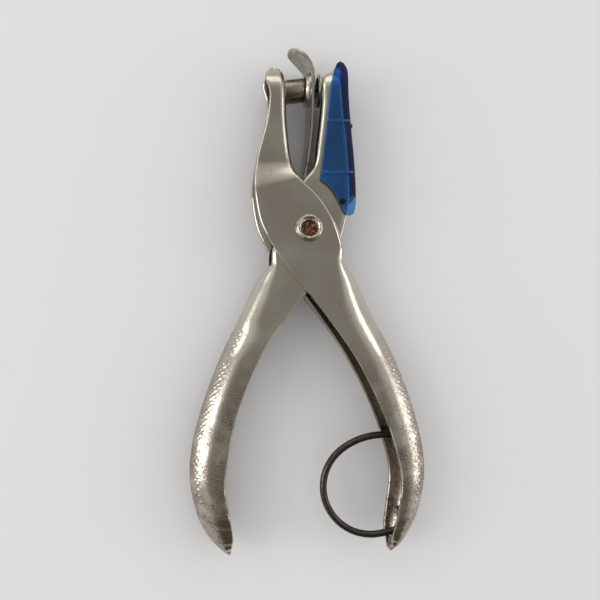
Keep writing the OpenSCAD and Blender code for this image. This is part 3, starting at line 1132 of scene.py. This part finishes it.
@dataclass
class PunchAndDie:
    """The headed punch pin, square to the die as it enters, and the die's ring."""

    reach: float = 38.6
    square_angle: float = 6.2
    tip_x: float = 3.85
    length: float = 8.0
    radius: float = 3.15
    head_radius: float = 3.6
    head: float = 1.4
    die_x: float = 3.0
    die_radius: float = 4.4
    shank_radius: float = 3.65
    bore_radius: float = 3.3
    proud: float = 0.5
    shank: float = 1.0
    edge: float = 0.12
    spin_steps: int = 72

    def lay(self, x: float) -> Matrix:
        """Stands a lathed part along +X at the punch's height."""
        return (Matrix.Translation((x, self.reach, 0))
                @ Matrix.Rotation(math.radians(90), 4, "Y"))

    def build(self, brown: bpy.types.Material, pale: bpy.types.Material,
              ground: bpy.types.Material) -> None:
        """Makes the pin and the die.

        Args:
            brown: the pin's tool steel.
            pale: the die's outside.
            ground: the die's bore, whose dark mottle is painted shade.
        """
        edge = self.edge
        pin = lathe([(0, 0), (self.head_radius - 0.2, 0), (self.head_radius, 0.2),
                     (self.head_radius, self.head - 0.1), (self.head_radius - 0.1, self.head),
                     (self.radius, self.head), (self.radius, 4.4), (self.radius - 0.03, 4.5),
                     (self.radius - 0.03, self.length - edge), (self.radius - edge, self.length),
                     (self.radius - 0.5, self.length), (0, self.length - 0.7)],
                    self.spin_steps)
        opened = Matrix.Rotation(math.radians(self.square_angle), 4, "Z")
        bmesh.ops.transform(pin, matrix=opened @ self.lay(self.tip_x - self.length),
                            verts=pin.verts)
        piece = make_piece("punch_pin_ground", pin, [brown], Slot.TOOL, "punch_pin")
        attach(piece, Body.PUNCH.value)
        back = self.proud + self.shank
        ring = lathe([(self.bore_radius + 0.1, 0), (self.die_radius - 0.3, 0),
                      (self.die_radius, 0.3), (self.die_radius, self.proud),
                      (self.shank_radius, self.proud), (self.shank_radius, back),
                      (self.bore_radius, back), (self.bore_radius, 0.1),
                      (self.bore_radius + 0.1, 0)], self.spin_steps)
        bmesh.ops.transform(ring, matrix=self.lay(self.die_x), verts=ring.verts)
        axis = Vector((0, self.reach, 0))
        # Faces in the bore take the finish whose dark mottle is painted shade.
        for f in ring.faces:
            centre = f.calc_center_median()
            if (Vector((0, centre.y, centre.z)) - axis).length < self.bore_radius + 0.08:
                f.material_index = 1
        die = make_piece("die_ring", ring, [pale, ground], Slot.TOOL, "die_button")
        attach(die, Body.DIE.value)


@dataclass
class Stripper:
    """The bent strip that pushes the paper off the pin, with its spoon-shaped lead-in."""

    face: list[Section] = field(default_factory=lambda: [
        [-2.2, 8.5, 3.75], [-0.45, 14.0, 3.75], [0.2, 16.6, 3.75], [0.32, 17.6, 4.7],
        [0.85, 21.8, 4.7], [1.4, 27.1, 4.7], [1.65, 33.0, 4.7], [1.75, 38.0, 4.7],
        [1.85, 41.6, 4.7], [1.35, 43.8, 4.7], [0.2, 45.9, 4.7], [-1.6, 47.7, 4.7],
        [-3.6, 48.7, 4.7], [-4.9, 48.95, 4.7]])
    thick: float = 1.0
    spoon_start: float = 43.0
    spoon: float = 0.55
    spoon_fade: float = 2.5
    lip_half: float = 4.7
    lip_run: float = 5.2
    lip_blunt: float = 0.02
    edge_round: float = 0.25
    spacing: float = 0.45
    around: int = 20
    spin_steps: int = 72
    collar_y: float = 38.75
    collar_radius: float = 4.25
    hole_radius: float = 3.5
    ear_radius: float = 4.5
    ear_low: float = 2.85
    ear_high: float = 3.75

    def strip(self) -> bmesh.types.BMesh:
        """Bends the strip itself.

        Returns:
            A closed sheet with rounded edges, narrowed and dished to a spoon at its lip.
        """
        rows = smooth_row(self.face, self.spacing, 2)
        around = self.around
        rings: list[Ring] = []
        left_over = [0.0]
        for near, far in zip(rows[::-1], rows[-2::-1]):
            left_over.append(left_over[-1] + math.dist(near[:2], far[:2]))
        for i, (x, y, half) in enumerate(rows):
            short = max(self.lip_run - left_over[len(rows) - 1 - i], 0) / self.lip_run
            half *= math.sqrt(max(1 - short * short, self.lip_blunt))
            ahead = rows[min(i + 1, len(rows) - 1)]
            behind = rows[max(i - 1, 0)]
            run = Vector((ahead[0] - behind[0], ahead[1] - behind[1], 0)).normalized()
            left = Vector((-run.y, run.x, 0))
            ring: Ring = []
            for k in range(around * 2):
                on_back = k >= around
                share = (k % around) / (around - 1) * 2 - 1
                z = (share if not on_back else -share) * half
                edge = max(abs(z) - (half - self.edge_round), 0) / self.edge_round
                pull = self.edge_round * (1 - math.sqrt(max(1 - edge * edge, 0)))
                depth = self.thick - pull if on_back else pull
                bowl = ease((y - self.spoon_start) / self.spoon_fade)
                dish = self.spoon * bowl * (1 - (z / self.lip_half) ** 2)
                ring.append(Vector((x, y, z)) + left * (depth - dish))
            rings.append(ring)
        return skin(rings)

    def build(self, strip_steel: bpy.types.Material) -> None:
        """Makes the stripper as one piece.

        Args:
            strip_steel: the plated strip.
        """
        across = (Matrix.Translation((0, self.collar_y, 0))
                  @ Matrix.Rotation(math.radians(90), 4, "Y"))
        bm = cut("strip", self.strip(), rod(self.hole_radius, -6, 6, across))
        collar = lathe([(self.hole_radius, 1.0), (self.hole_radius, -0.3),
                        (self.hole_radius + 0.12, -0.45), (self.collar_radius - 0.35, -0.45),
                        (self.collar_radius, -0.1), (self.collar_radius + 0.25, 0.7),
                        (self.collar_radius + 0.25, 1.0), (self.hole_radius, 1.0)],
                       self.spin_steps)
        bmesh.ops.transform(collar, matrix=across, verts=collar.verts)
        ears: list[bmesh.types.BMesh] = []
        for side in (-1, 1):
            low, high = sorted((side * self.ear_low, side * self.ear_high))
            neck = arc((0, 0), self.ear_radius, 168, 372, 40)
            outline = neck + [(-0.2, 13.6), (-1.4, 14.0), (-2.9, 8.5)]
            ears.append(cut("ear", prism(outline, low, high), rod(RIVET_HOLE, -THROUGH, THROUGH)))
        join(bm, collar, *ears)
        piece = make_piece("stripper_strip", bm, [strip_steel], Slot.STRIP, "stripper")
        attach(piece, Body.DIE.value)


@dataclass
class OpeningSpring:
    """The close-wound coil round the rivet, with a leg against each handle's back."""

    wire: float = 0.6
    radius: float = 3.7
    turns: int = 3
    half: float = 2.05
    turn_steps: int = 28
    sides: int = 12
    die_leg: tuple[tuple[float, float], tuple[float, float]] = ((-10.89, -13.51), (-8.5, -9.5))
    punch_leg: tuple[tuple[float, float], tuple[float, float]] = ((7.9, -9.0), (11.85, -14.9))

    def touch(self, x: float, y: float, side: int) -> float:
        """The angle at which a straight leg from a point meets the coil, in radians."""
        return math.atan2(y, x) + side * math.acos(self.radius / math.hypot(x, y))

    def build(self, steel: bpy.types.Material) -> None:
        """Makes the spring as one fixed piece; on the real tool its coil winds up as the arms
        close.

        Args:
            steel: the spring's wire.
        """
        start = self.touch(*self.die_leg[1], -1)
        end = self.touch(*self.punch_leg[0], 1) + 2 * math.pi * self.turns
        steps = self.turn_steps * self.turns
        path = [Vector((x, y, -self.half)) for x, y in self.die_leg]
        for k in range(steps + 1):
            angle = lerp(start, end, k / steps)
            path.append(Vector((self.radius * math.cos(angle), self.radius * math.sin(angle),
                                lerp(-self.half, self.half, k / steps))))
        path += [Vector((x, y, self.half)) for x, y in self.punch_leg]
        piece = make_piece("opening_coil", tube(path, self.wire, self.sides), [steel],
                           Slot.SPRING, "opening_spring")
        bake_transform(piece)


# ---------------------------------------------------------------------------------------
# Catcher and loop
# ---------------------------------------------------------------------------------------
@dataclass
class ChipCatcher:
    """The clear blue box that clips round the die jaw and keeps the punched chips."""

    side: list[Section] = field(default_factory=lambda: [
        [7.2, 43.3], [7.6, 43.9], [8.3, 44.2], [9.3, 43.6], [10.1, 42.2], [10.4, 40.0],
        [10.5, 36.0], [10.9, 29.6], [12.0, 17.6], [12.4, 10.5], [12.3, 6.0],
        [11.7, 3.8], [10.8, 3.4], [9.6, 4.2], [8.3, 6.2], [6.4, 9.7], [4.8, 11.6],
        [3.1, 13.1], [3.5, 16.6], [4.8, 28.5], [5.9, 38.3]])
    space: list[Section] = field(default_factory=lambda: [
        [-2, 43.2], [8.0, 43.2], [8.8, 41.6], [9.1, 39.8], [9.2, 36.0], [9.7, 29.4],
        [10.9, 17.5], [11.3, 8.6], [20, 8.6], [20, -2], [-2, -2]])
    inside: float = 5.0
    outside: float = 5.85
    spacing: float = 1.2
    box_round: float = 0.22
    box_sharper_than: float = 60.0
    hinge: tuple[float, float] = (9.0, 7.2)
    pip: float = 0.8
    pip_length: float = 0.95
    grip_place: tuple[float, float, float] = (11.45, 28.0, 0)
    grip_size: tuple[float, float, float] = (1.3, 1.2, 6.8)
    grip_round: float = 0.3
    rib_size: tuple[float, float] = (0.7, 0.5)
    rib_round: float = 0.18
    ribs: tuple[tuple[float, float, float], ...] = ((28.4, 5.1, 10.7), (14.8, 3.7, 11.8))

    def build(self, plastic: bpy.types.Material) -> None:
        """Makes the catcher as one moulded piece.

        Args:
            plastic: the clear blue plastic.
        """
        ring = self.side + [self.side[0]]
        outline = [(row[0], row[1]) for row in smooth_row(ring, self.spacing, 2)[:-1]]
        block = prism(outline, -self.outside, self.outside)
        soften(block, self.box_round, 3, self.box_sharper_than)
        hollow = prism([(x, y) for x, y in self.space], -self.inside, self.inside)
        bm = cut("catcher", block, hollow)
        parts: list[bmesh.types.BMesh] = []
        grip = bmesh.new()
        bmesh.ops.create_cube(grip, size=1.0, matrix=Matrix.Translation(self.grip_place)
                              @ Matrix.Diagonal((*self.grip_size, 1)))
        soften(grip, self.grip_round, 3)
        parts.append(grip)
        for y, low, high in self.ribs:
            for z in (-1, 1):
                rib = bmesh.new()
                place = Matrix.Translation(((low + high) / 2, y, z * self.outside))
                bmesh.ops.create_cube(rib, size=1.0, matrix=place
                                      @ Matrix.Diagonal((high - low, *self.rib_size, 1)))
                soften(rib, self.rib_round)
                parts.append(rib)
        for z in (-1, 1):
            foot = z * self.inside - (self.pip_length if z > 0 else 0)
            place = Matrix.Translation((*self.hinge, foot))
            parts.append(rod(self.pip, 0, self.pip_length, place, 32))
        join(bm, *parts)
        piece = make_piece("catcher_shell", bm, [plastic], Slot.PLASTIC, "chip_catcher")
        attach(piece, Body.CATCHER.value)


@dataclass
class WireLoop:
    """The D-shaped wire loop whose two feet turn in the handle's lugs."""

    wire: float = 0.95
    axis_x: float = 25.9
    top_y: float = -55.4
    bend: float = 2.4
    low_bend: float = 3.0
    foot_top: float = -50.8
    foot_low: float = 3.9
    flat_x: float = 21.5
    flat_radius: float = 19.0
    flat_sweep: float = 38.0
    round_radius: float = 13.0
    round_sweep: float = 154.0
    sides: int = 24

    def path(self) -> list[Vector]:
        """Bends the loop's centre line from tangent arcs and straights.

        Returns:
            The line, from the upper foot round to the lower one.
        """
        turned = math.radians(90 + self.flat_sweep)
        heading = self.flat_sweep + self.round_sweep - 180
        lean = math.radians(heading)
        top = (self.axis_x - self.bend, self.top_y + self.bend)
        flat = (self.flat_x, self.top_y - self.flat_radius)
        drop = self.flat_radius - self.round_radius
        centre = (flat[0] + drop * math.cos(turned), flat[1] + drop * math.sin(turned))
        last = math.radians(heading - 90)
        round_end = (centre[0] + self.round_radius * math.cos(last),
                     centre[1] + self.round_radius * math.sin(last))
        low_x = self.axis_x - self.low_bend
        run = (low_x + self.low_bend * math.sin(lean) - round_end[0]) / math.cos(lean)
        low_y = round_end[1] + run * math.sin(lean) + self.low_bend * math.cos(lean)
        points = [(self.axis_x, self.foot_top)]
        points += arc(top, self.bend, 0, -90, 10)
        points += arc(flat, self.flat_radius, 90, 90 + self.flat_sweep, 16)
        points += arc(centre, self.round_radius, 94 + self.flat_sweep,
                      90 + self.flat_sweep + self.round_sweep, 44)
        points += arc((low_x, low_y), self.low_bend, heading - 90, 0, 10)
        points.append((self.axis_x, low_y + self.foot_low))
        return [Vector((x, y, 0)) for x, y in points]

    def build(self, black: bpy.types.Material) -> None:
        """Makes the loop.

        Args:
            black: the blackened wire.
        """
        bm = tube(self.path(), self.wire, self.sides)
        piece = make_piece("finger_loop", bm, [black], Slot.WIRE, "wire_loop")
        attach(piece, Body.LOOP.value)


# ---------------------------------------------------------------------------------------
# Studio
# ---------------------------------------------------------------------------------------
@dataclass(frozen=True)
class Panel:
    """A soft light panel that faces the punch: its place and size in metres, power in watts."""

    name: str
    place: tuple[float, float, float]
    width: float
    height: float
    power: float
    colour: str = "#FFFFFF"


@dataclass
class Studio:
    """A pale board in a pale room, with panels left, right and behind, seen from above.

    Matt surfaces are lit by a nearly white room, the bounce, and mirrors see a darker one, so
    that the board stays pale while the plates reflect a dull ceiling. It is a studio's trick.
    """

    camera_x: float = -0.027
    camera_y: float = -0.013
    camera_height: float = 0.172
    lens: float = 37.7
    sensor: float = 36.0
    shift_x: float = 0.155
    shift_y: float = 0.083
    clip_start: float = 0.01
    table_size: float = 6.0
    room: str = "#D6D6D2"
    overhead: str = "#999793"
    person: str = "#5E564E"
    bounce: str = "#FFFEFE"
    ceiling_wide: float = 0.50
    ceiling_long: float = 0.71
    ceiling_shift: float = 0.20
    ceiling_fade: tuple[float, float] = (0.82, 1.30)
    person_at: tuple[float, float, float] = (0.20, -0.80, 0.55)
    person_fade: tuple[float, float] = (0.66, 0.92)
    panels: tuple[Panel, ...] = (
        Panel("window", (-0.87, -0.03, 0.52), 0.42, 0.72, 3.4),
        Panel("back_panel", (0.05, 0.90, 0.55), 1.0, 0.4, 1.4, "#FFFAF0"),
        Panel("back_left", (-0.74, 0.62, 0.55), 0.30, 0.30, 0.8),
        Panel("back_right", (0.82, 0.36, 0.62), 0.22, 0.24, 0.6),
        Panel("right_panel", (0.85, -0.05, 0.34), 0.38, 0.48, 1.3, "#F8FAFF"))

    def camera(self) -> None:
        """Hangs the camera over the punch, looking straight down."""
        data = bpy.data.cameras.new("camera")
        data.lens = self.lens
        data.sensor_width = self.sensor
        data.shift_x = self.shift_x
        data.shift_y = self.shift_y
        data.clip_start = self.clip_start
        camera = bpy.data.objects.new("camera", data)
        camera.location = (self.camera_x, self.camera_y, MID_HEIGHT + self.camera_height)
        bpy.context.scene.collection.objects.link(camera)
        bpy.context.scene.camera = camera

    def table(self, board: bpy.types.Material) -> None:
        """Lays the table at the height of the punch's lowest point.

        Args:
            board: the table's finish.
        """
        bm = bmesh.new()
        bmesh.ops.create_grid(bm, x_segments=1, y_segments=1, size=self.table_size / 2)
        floor = loose_object("table", bm)
        floor.data.transform(Matrix.Translation((0, 0, CAD_BOX[0][2])))
        floor.data.materials.append(board)

    def lamp(self, panel: Panel) -> None:
        """Hangs a soft panel that faces the punch.

        Args:
            panel: what it is and where it hangs.
        """
        data = bpy.data.lights.new(panel.name, "AREA")
        data.shape = "RECTANGLE"
        data.size = panel.width
        data.size_y = panel.height
        data.energy = panel.power
        data.color = linear(panel.colour)[:3]
        lamp = bpy.data.objects.new(panel.name, data)
        lamp.location = panel.place
        lamp.rotation_euler = Vector(panel.place).to_track_quat("Z", "Y").to_euler()
        bpy.context.scene.collection.objects.link(lamp)

    def sky(self) -> None:
        """A pale room, darker in an oval overhead and where a person stands at the near side."""
        world = bpy.data.worlds.new("room")
        bpy.context.scene.world = world
        world.use_nodes = True
        tree = world.node_tree
        tree.nodes.clear()
        place = add_node(tree, "ShaderNodeTexCoord").outputs["Generated"]
        squashed = add_node(tree, "ShaderNodeVectorMath", {"operation": "MULTIPLY_ADD"},
                            {0: place,
                             1: Vector((1 / self.ceiling_wide, 1 / self.ceiling_long, 0)),
                             2: Vector((0.0, self.ceiling_shift / self.ceiling_long, 0))}
                            ).outputs["Vector"]
        away = add_node(tree, "ShaderNodeVectorMath", {"operation": "LENGTH"},
                        {0: squashed}).outputs["Value"]
        front = add_node(tree, "ShaderNodeVectorMath", {"operation": "DOT_PRODUCT"},
                         {0: place, 1: Vector(self.person_at).normalized()})
        person = ramp(tree, front.outputs["Value"], *self.person_fade)
        open_room = ramp(tree, away, *self.ceiling_fade)
        room = blend(tree, open_room, linear(self.overhead), linear(self.room))
        seen = blend(tree, person, room, linear(self.person))
        matt_rays = add_node(tree, "ShaderNodeLightPath").outputs["Is Diffuse Ray"]
        colour = blend(tree, matt_rays, seen, linear(self.bounce))
        background = add_node(tree, "ShaderNodeBackground", None,
                              {"Color": colour, "Strength": 1.0})
        add_node(tree, "ShaderNodeOutputWorld", None,
                 {"Surface": background.outputs["Background"]})

    def build(self, board: bpy.types.Material) -> None:
        """Sets up the whole studio.

        Args:
            board: the table's finish.
        """
        self.camera()
        self.table(board)
        self.sky()
        for panel in self.panels:
            self.lamp(panel)
        bpy.context.scene.view_settings.view_transform = "Standard"


def main() -> None:
    """Builds the studio and every piece in turn."""
    logging.basicConfig(level=logging.INFO, format="%(name)s: %(message)s")
    Studio().build(PaleTable().material())
    nickel = NickelPlate().material()
    rivet_steel = RIVET_FINISH.material()
    brown_steel = PIN_FINISH.material()
    bore_painted_shade = BORE_PAINTED_SHADE_FINISH.material()
    strip_steel = STRIP_FINISH.material()
    spring_steel = SPRING_FINISH.material()
    black_wire = LOOP_FINISH.material()
    PunchArm("punch_arm_shell", "punch_arm", Body.PUNCH, PUNCH_STATIONS,
             dimples=[(-6.9, 21.2, 0.45)]).build(nickel)
    DieArm("die_arm_shell", "die_arm", Body.DIE, DIE_STATIONS).build(nickel)
    Rivet().build(rivet_steel, RustedSteel().material())
    PunchAndDie().build(brown_steel, strip_steel, bore_painted_shade)
    Stripper().build(strip_steel)
    OpeningSpring().build(spring_steel)
    ChipCatcher().build(BluePlastic().material())
    WireLoop().build(black_wire)


if __name__ == "__main__":
    main()
